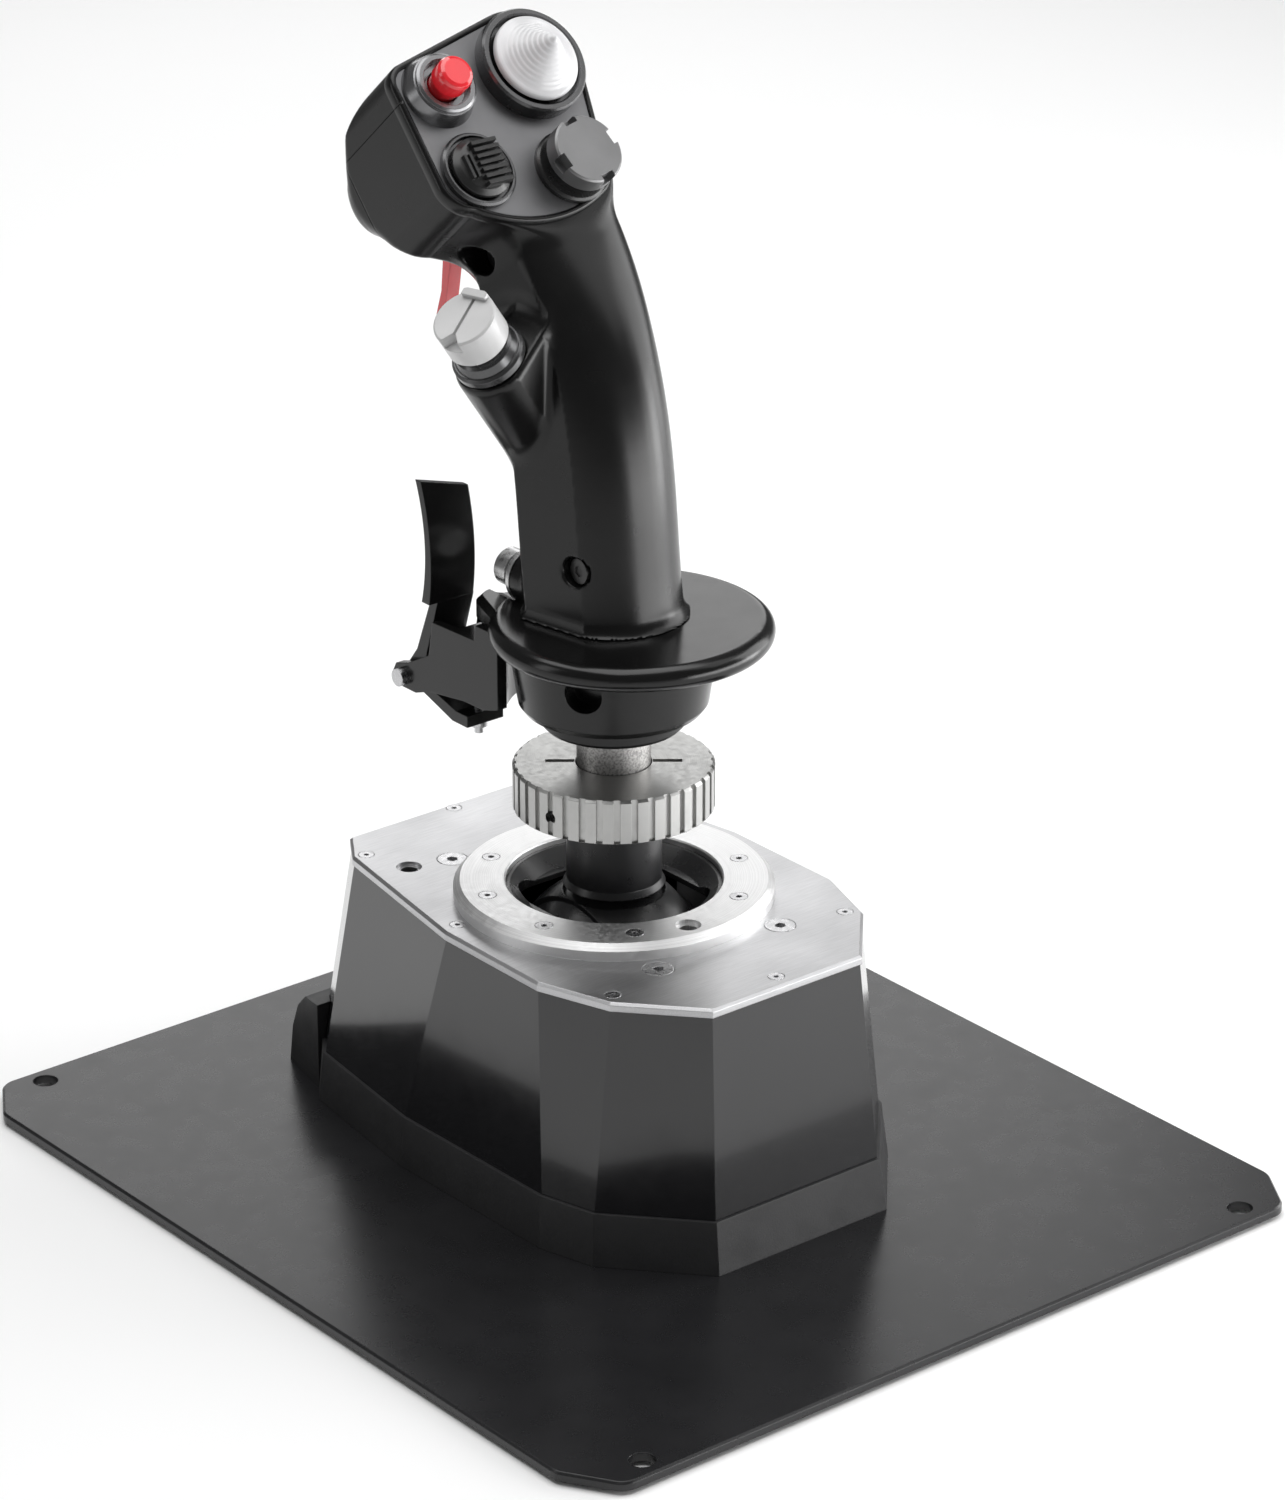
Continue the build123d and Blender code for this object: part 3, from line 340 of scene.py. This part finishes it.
BOSS_R, BOSS_DEPTH, BOSS_WEB, SCOOP_R = 13.2, 56.0, 16.0, 20.0
SILVER_AT, SILVER_R = (-13.0, 32.6, 196.5), 9.4
SEAM_B, SEAM_LOW, SEAM_DEPTH, SEAM_HALF = 48.4, 12.0, 41.0, 0.35
TRIGGER_SLOT_AT, TRIGGER_SLOT = (-14.0, 74.0, 296.0), (5.8, 27.0, 34.0)
GRIP_SCREWS, SCREW_HOLE_R = ((-1.0, 210.5), (40.0, 304.6)), 4.9  # (y, z) in the left cheek
DISC_TOP, NECK_TOP = 190.0, 330.0
FLARE_H, FLARE = 5.0, 3.2         # how the neck's foot widens onto the hand rest
FACE_DROP = 2.0                   # the skin ends this far under the rim, inside the face plate
NECK_EVEN = 0.93                  # evens out the neck's distances, which lean with its axis
SKIN_STEP = 0.9
SKIN_LOW, SKIN_HIGH = np.array((-52.0, -24.0, 186.0)), np.array((36.0, 100.0, 378.0))


def arc(start, middle, end, count=14):
    """Points along the arc through three points, without its last point."""
    (ax, ay), (bx, by), (cx, cy) = start, middle, end
    turn = 2 * (ax * (by - cy) + bx * (cy - ay) + cx * (ay - by))
    sa, sb, sc = ax * ax + ay * ay, bx * bx + by * by, cx * cx + cy * cy
    ox = (sa * (by - cy) + sb * (cy - ay) + sc * (ay - by)) / turn
    oy = (sa * (cx - bx) + sb * (ax - cx) + sc * (bx - ax)) / turn
    radius = math.hypot(ax - ox, ay - oy)
    first, via, last = (math.atan2(y - oy, x - ox) for x, y in (start, middle, end))
    via, last = ((angle - first) % math.tau for angle in (via, last))
    sweep = last if via < last else last - math.tau
    angles = [first + sweep * i / count for i in range(count)]
    return [(ox + radius * math.cos(t), oy + radius * math.sin(t)) for t in angles]


def head_outline():
    """Outline of the head, seen square to the control face."""
    ring, ring_r = (6.3, 50.6), 20.5
    ends = [math.radians(d) for d in (102.9, 44.4, -14.1)]
    start, middle, end = [(ring[0] + ring_r * math.cos(t), ring[1] + ring_r * math.sin(t)) for t in ends]
    points = [(-39.0, 61.3)]
    points += arc(start, middle, end, 30)
    points += [end]
    points += arc((19.0, 14.0), (17.6, 8.6), (13.8, 4.6))
    points += arc((13.8, 4.6), (-9.0, -1.0), (-36.5, 8.0), 24)
    points += arc((-36.5, 8.0), (-42.6, 11.8), (-45.2, 17.5))
    points += [(-45.2, 17.5)]
    points += arc((-45.2, 53.0), (-43.6, 58.4), (-39.0, 61.3))
    return np.array(points)


def neck_outline():
    """Outline of the neck about its middle: round rear, flat cheeks that open forwards, bowed front."""
    left_rear, right_rear = (-20.2, -11.0), (20.2, -11.0)
    right_front, left_front = (25.0, 13.0), (-25.0, 13.0)
    points = arc(left_rear, (0, -23.0), right_rear, 40) + [right_rear]
    return np.array(points + arc(right_front, (0, 27.0), left_front, 40) + [left_front])


def head_profile():
    """Side view of the head as (depth behind the face, height up the face), with its nose at the far end."""
    crown = arc((-20.0, 64.0), (29.0, 58.6), (50.0, 45.0), 30)
    nose = arc((50.0, 45.0), (53.2, 33.0), (45.5, 22.0), 20)
    chin = arc((45.5, 22.0), (37.0, 13.5), (30.0, -4.0), 20)
    return np.array(crown + nose + chin + [(30.0, -4.0), (-20.0, -8.0)])


class Outline:
    """Signed distance to a closed outline, tabulated on a square grid and read between its points."""

    def __init__(self, points, step=0.5, margin=45.0):
        self.step = step
        self.low = points.min(axis=0) - margin
        counts = np.ceil((points.max(axis=0) + margin - self.low) / step).astype(int) + 1
        a, b = np.meshgrid(*[self.low[i] + step * np.arange(counts[i]) for i in (0, 1)], indexing="ij")
        nearest = np.full(a.shape, 1e9)
        inside = np.zeros(a.shape, bool)
        for (pa, pb), (qa, qb) in zip(points, np.roll(points, -1, axis=0)):
            da, db = qa - pa, qb - pb
            along = np.clip(((a - pa) * da + (b - pb) * db) / (da * da + db * db), 0, 1)
            nearest = np.minimum(nearest, np.hypot(a - pa - along * da, b - pb - along * db))
            if db:
                crosses = ((b >= pb) != (b >= qb)) & (a < pa + (b - pb) * da / db)
                inside ^= crosses
        self.table = np.where(inside, -nearest, nearest)

    def __call__(self, a, b):
        u = np.clip((a - self.low[0]) / self.step, 0, self.table.shape[0] - 1.001)
        v = np.clip((b - self.low[1]) / self.step, 0, self.table.shape[1] - 1.001)
        i, j = u.astype(int), v.astype(int)
        u, v = u - i, v - j
        t = self.table
        near = t[i, j] * (1 - v) + t[i, j + 1] * v
        far = t[i + 1, j] * (1 - v) + t[i + 1, j + 1] * v
        return near * (1 - u) + far * u


def join(a, b, radius):
    """Union of two distances with a fillet between them."""
    near = np.maximum(radius - np.abs(a - b), 0) / radius
    return np.minimum(a, b) - near * near * radius / 4


def common(a, b, radius):
    """Intersection of two distances with a rounded edge."""
    return -join(-a, -b, radius)


def along(p, origin, direction):
    """How far a point lies from an origin along a direction."""
    return sum((p[i] - origin[i]) * direction[i] for i in range(3))


def cylinder(p, origin, axis, radius, low, high, edge):
    """Cylinder from low to high along an axis through a point, with rounded rims."""
    height = along(p, origin, axis)
    off = [p[i] - origin[i] - height * axis[i] for i in range(3)]
    wall = np.sqrt(off[0] ** 2 + off[1] ** 2 + off[2] ** 2) - radius
    return common(wall, np.maximum(height - high, low - height), edge)


def boss_distance(p):
    """The side switch's boss: a cylinder that widens into a web towards the neck."""
    height = along(p, SIDE_RIM, SIDE_N)
    reach = along(p, SIDE_RIM, SIDE_Y)
    beside = reach - np.clip(reach, 0, BOSS_WEB)
    off = [p[i] - SIDE_RIM[i] - height * SIDE_N[i] - reach * SIDE_Y[i] for i in range(3)]
    shrink = 0.30 * np.clip(reach, 0, BOSS_WEB)
    wall = np.sqrt(off[0] ** 2 + off[1] ** 2 + off[2] ** 2 + beside ** 2) - BOSS_R + shrink
    return common(wall, np.maximum(height, -BOSS_DEPTH - height), 0.8)


def box_at(p, centre, size):
    """Distance to an upright box."""
    return np.maximum.reduce([np.abs(p[i] - centre[i]) - size[i] / 2 for i in range(3)])


HEAD, NECK, SIDE_VIEW = (Outline(points()) for points in (head_outline, neck_outline, head_profile))


def grip_distance(p):
    """Signed distance to the grip's outside at points p = (x, y, z), in mm from the plate's top."""
    x, y, z = p
    foot = np.clip((DISC_TOP + FLARE_H - z) / FLARE_H, 0, 1)
    flare = FLARE * (1 - np.sqrt(1 - foot * foot))
    neck = (NECK(x - NECK_X, y - np.polyval(NECK_CURVE, z)) - flare) * NECK_EVEN
    neck = np.maximum(neck, DISC_TOP - z)
    height = along(p, FACE_POINT, FACE_N)
    under_rim = height + FACE_DROP
    neck = common(neck, under_rim, 10.0)
    neck = common(neck, z - NECK_TOP, 4.0)

    depth, up_face = -height, along(p, FACE_POINT, FACE_B)
    wall = HEAD(along(p, FACE_POINT, FACE_A), up_face)
    turn_in = np.clip((depth - 34.0) / 12.0, 0, 1)
    head = common(wall, SIDE_VIEW(depth, up_face), 2.0 + 8.0 * turn_in)
    head = common(head, under_rim, 1.0)
    body = common(join(neck, head, 9.0), under_rim, 1.0)

    body = join(body, boss_distance(p), 3.0)
    scoop = cylinder(p, SIDE_RIM, SIDE_N, SCOOP_R, 0.0, 60.0, 5.0)
    body = common(body, -scoop, 4.0)

    silver = cylinder(p, SILVER_AT, (0, 1, 0), SILVER_R, -8.0, 0.9, 0.6)
    body = join(body, np.maximum(silver, DISC_TOP - z), 2.0)
    body = np.maximum(body, -box_at(p, TRIGGER_SLOT_AT, TRIGGER_SLOT))
    for hole_y, hole_z in GRIP_SCREWS:
        hole = cylinder(p, (-19.0, hole_y, hole_z), (-1, 0, 0), SCREW_HOLE_R, 0.0, 24.0, 0.3)
        body = common(body, -hole, 0.9)
    return body


def surface_net(field, low, step):
    """Vertices and quads of the zero surface of a sampled field: one vertex in each cell that it crosses."""
    inside = field < 0
    full = np.zeros([n - 1 for n in field.shape], np.int8)
    for shift in itertools.product((0, 1), repeat=3):
        full += inside[tuple(slice(s, s + n) for s, n in zip(shift, full.shape))]
    crossed = (full > 0) & (full < 8)
    number = np.full(crossed.shape, -1)
    number[crossed] = np.arange(crossed.sum())
    cells = np.argwhere(crossed)
    total, hits = np.zeros(cells.shape), np.zeros((len(cells), 1))
    quads = []
    for axis in range(3):
        side_a, side_b = (axis + 1) % 3, (axis + 2) % 3
        step_on = np.eye(3, dtype=int)[axis]
        for shift in itertools.product((0, 1), repeat=2):
            near = cells.copy()
            near[:, side_a] += shift[0]
            near[:, side_b] += shift[1]
            fa, fb = field[tuple(near.T)], field[tuple((near + step_on).T)]
            meets = ((fa < 0) != (fb < 0))[:, None]
            part = (fa / np.where(fa == fb, 1, fa - fb))[:, None]
            total += np.where(meets, near + part * step_on, 0)
            hits += meets
        before = inside[tuple(slice(0, -1) if i == axis else slice(1, -1) for i in range(3))]
        after = inside[tuple(slice(1, None) if i == axis else slice(1, -1) for i in range(3))]
        edges = np.argwhere(before != after) + (1 - step_on)
        leaving = before[before != after]
        ring = []
        for shift in ((0, 0), (1, 0), (1, 1), (0, 1)):
            cell = edges.copy()
            cell[:, side_a] -= shift[0]
            cell[:, side_b] -= shift[1]
            ring.append(number[tuple(cell.T)])
        ring = np.stack(ring, axis=1)
        quads.append(np.where(leaving[:, None], ring, ring[:, ::-1]))
    return low + step * total / hits, np.concatenate(quads)


# ---- pieces made from the skin ------------------------------------------------------------------
def to_frame(points):
    """From mm above the plate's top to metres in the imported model's frame."""
    return (np.asarray(points) + (0, 0, LIFT)) * MM


def on_face(a, b, height):
    """The point at (a, b) on the control face's plane, raised by a height."""
    return FACE_POINT + a * FACE_A + b * FACE_B + height * FACE_N


def gradient_at(points, reach=0.15):
    """Unit normals of the skin at points near it."""
    slopes = []
    for i in range(3):
        shift = np.zeros(3)
        shift[i] = reach
        slopes.append(grip_distance(tuple((points + shift).T)) - grip_distance(tuple((points - shift).T)))
    slopes = np.stack(slopes, axis=1) / (2 * reach)
    return slopes / np.maximum(np.linalg.norm(slopes, axis=1), 1e-6)[:, None]


def new_piece(name, vertices, faces, body, material):
    """A mesh piece that rides on a body and takes its finish from a slot."""
    mesh = bpy.data.meshes.new(name)
    mesh.from_pydata([tuple(v) for v in vertices], [], [tuple(f) for f in faces])
    mesh.polygons.foreach_set("use_smooth", [True] * len(mesh.polygons))
    mesh.materials.append(material)
    piece = bpy.data.objects.new(name, mesh)
    bpy.context.scene.collection.objects.link(piece)
    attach(piece, body)
    return piece


def make_skin(material):
    """The grip's smooth outside, in place of the plainer CAD body and head cover."""
    axes = [np.arange(low, high, SKIN_STEP) for low, high in zip(SKIN_LOW, SKIN_HIGH)]
    field = grip_distance(np.meshgrid(*axes, indexing="ij"))
    points, quads = surface_net(field, SKIN_LOW, SKIN_STEP)
    normals = gradient_at(points)
    points = points - normals * np.clip(grip_distance(tuple(points.T)), -0.4, 0.4)[:, None]
    skin = new_piece("grip_skin", to_frame(points), quads, "stick", material)
    skin.data.normals_split_custom_set_from_vertices([tuple(n) for n in gradient_at(points)])
    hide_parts("grip_body", "head_cover")


def loft(rings):
    """Vertices and quads through closed rings of equal length."""
    count = len(rings[0])
    faces = []
    for i in range(len(rings) - 1):
        for j in range(count):
            k = (j + 1) % count
            faces.append((i * count + j, i * count + k, (i + 1) * count + k, (i + 1) * count + j))
    return np.concatenate(rings), faces


def resample(points, count):
    """Evenly spaced points round a closed outline."""
    loop = np.vstack((points, points[:1]))
    lengths = np.concatenate(([0], np.cumsum(np.linalg.norm(np.diff(loop, axis=0), axis=1))))
    at = np.linspace(0, lengths[-1], count, endpoint=False)
    return np.stack([np.interp(at, lengths, loop[:, i]) for i in (0, 1)], axis=1)


def make_face_rim(material):
    """The raised lip round the control face, from the head's wall over to the recessed plate."""
    outline = resample(head_outline(), 260)
    tangent = np.roll(outline, -1, axis=0) - np.roll(outline, 1, axis=0)
    outward = np.stack((tangent[:, 1], -tangent[:, 0]), axis=1) / np.linalg.norm(tangent, axis=1)[:, None]
    area = np.sum(outline[:, 0] * np.roll(outline[:, 1], -1) - outline[:, 1] * np.roll(outline[:, 0], -1))
    outward *= np.sign(area)
    profile = [
        (-0.6, -6.0), (0.05, -4.5), (0.05, -1.6), (-0.15, -0.8), (-0.6, -0.25), (-1.1, 0.0),
        (-1.6, -0.1), (-2.05, -0.5), (-2.3, -1.1), (-2.3, -2.6),
    ]
    rings = []
    for grow, height in profile:
        edge = outline + outward * grow
        rings.append(np.array([on_face(a, b, height) for a, b in edge]))
    vertices, faces = loft(rings)
    new_piece("face_rim", to_frame(vertices), faces, "stick", material)


# ---- materials of the CAD parts -----------------------------------------------------------------
def dress_base():
    coat = lacquer("plate_coat", (0.010, 0.010, 0.011), 0.28, grain=2600, depth=1.5e-6, spread_by=0.015)
    dress(coat, "base_plate")
    dress(lacquer("pad_rubber", (0.02, 0.02, 0.02), 0.8, grain=700, depth=2e-5), "rubber_pads")
    dress(lacquer("skirt_grain", (0.014, 0.014, 0.015), 0.5, grain=1500, depth=3e-5), "lower_skirt")
    dress(lacquer("shell_gloss", (0.006, 0.006, 0.007), 0.16, coat=0.5, spread_by=0.02), "faceted_shell")
    stretch = (45, 1400, 1400)
    dress(brushed("brushed_plate", (0.60, 0.60, 0.61), 0.34, stretch), "top_plate")
    ring_at = middle_of("gimbal_ring")
    dress(lathe_turned("bright_ring", (0.93, 0.93, 0.93), 0.42, ring_at, depth=2e-6), "gimbal_ring")
    dress(lacquer("well_plastic", (0.012, 0.012, 0.013), 0.3), "gimbal_bezel")
    screws = lathe_turned("screw_steel", (0.62, 0.62, 0.63), 0.28, ring_at, pitch=0.4 * MM)
    dress(screws, "gimbal_ring_screws", "top_plate_screws", "tower_screws", "base_screws",
          "paddle_screw", "hinge_pins", "thrust_washer", "roll_axle", "pitch_yoke", "pitch_spring",
          "roll_spring", "pitch_bearings", "usb_socket", "side_plunger")
    dress(anodised("dark_steel", (0.05, 0.05, 0.05), 0.35), "nut_set_screw", "grip_screws")
    cast = lacquer("cast_frame", (0.35, 0.35, 0.36), 0.5, grain=500, depth=3e-5)
    dress(cast, "base_pan", "gimbal_tower")
    board = lacquer("board_green", (0.01, 0.09, 0.04), 0.35)
    dress(board, "main_board", "pitch_sensor", "roll_sensor", "grip_board")
    dress(lathe_turned("bushing_brass", (0.72, 0.5, 0.2), 0.3, ring_at, (0, 1, 0)), "roll_bushings")


def dress_stick():
    dress(lacquer("post_black", (0.011, 0.011, 0.012), 0.32), "stick_post")
    dress(lacquer("boot_black", (0.014, 0.014, 0.015), 0.30), "boot_dome")
    dress(lacquer("lead_rubber", (0.01, 0.01, 0.01), 0.6), "signal_lead")
    nut_at = middle_of("lock_nut")
    dress(lathe_turned("nut_metal", (0.52, 0.52, 0.51), 0.34, nut_at, depth=3e-6, edge=0.25 * MM), "lock_nut")
    dress(speckled("stem_metal", (0.55, 0.54, 0.53), 0.42), "grip_stem")


def dress_grip():
    gloss = lacquer("grip_gloss", (0.004, 0.004, 0.004), 0.20, spread_by=0.02, specular=0.4)
    dress(gloss, "grip_body", "head_cover", "hand_rest", "grip_hub", "paddle_lever")
    smooth = lacquer("skin_gloss", (0.004, 0.004, 0.004), 0.26, edge=0.0, spread_by=0.015, specular=0.35)
    score_seam(smooth)
    make_skin(smooth)
    make_face_rim(smooth)
    dress(anodised("face_satin", (0.18, 0.18, 0.185), 0.42), "face_plate")
    dress(anodised("gunmetal", (0.10, 0.10, 0.102), 0.26), "trim_ring", "side_bezel", "ridge_bezel")
    dress(anodised("collar_metal", (0.20, 0.20, 0.205), 0.24), "button_collar")
    dress(lacquer("castle_black", (0.012, 0.012, 0.012), 0.3), "castle_bezel", "ridge_cap")
    dress(anodised("castle_grey", (0.20, 0.20, 0.202), 0.45), "castle_hat")
    dress(lacquer("trim_silver", (0.62, 0.62, 0.63), 0.32, coat=0.3), "trim_hat")
    dress(lacquer("red_gloss", (0.75, 0.02, 0.03), 0.15, coat=0.8), "red_button", "trigger")
    dress(lacquer("side_grey", (0.5, 0.5, 0.5), 0.35, coat=0.2), "side_cap")
    silver_at = middle_of("silver_button")
    silver = lathe_turned("button_metal", (0.7, 0.7, 0.7), 0.3, silver_at, (0, 1, 0))
    dress(silver, "silver_button", "silver_bezel")
    inner = lacquer("switch_black", (0.02, 0.02, 0.02), 0.4)
    dress(inner, "hat_switches", "push_switches")
    steel = lathe_turned("cross_steel", (0.6, 0.6, 0.6), 0.3, silver_at)
    dress(steel, "trim_cross", "ridge_cross", "castle_cross", "side_cross")


make_camera()
make_studio()
dress_base()
dress_stick()
dress_grip()
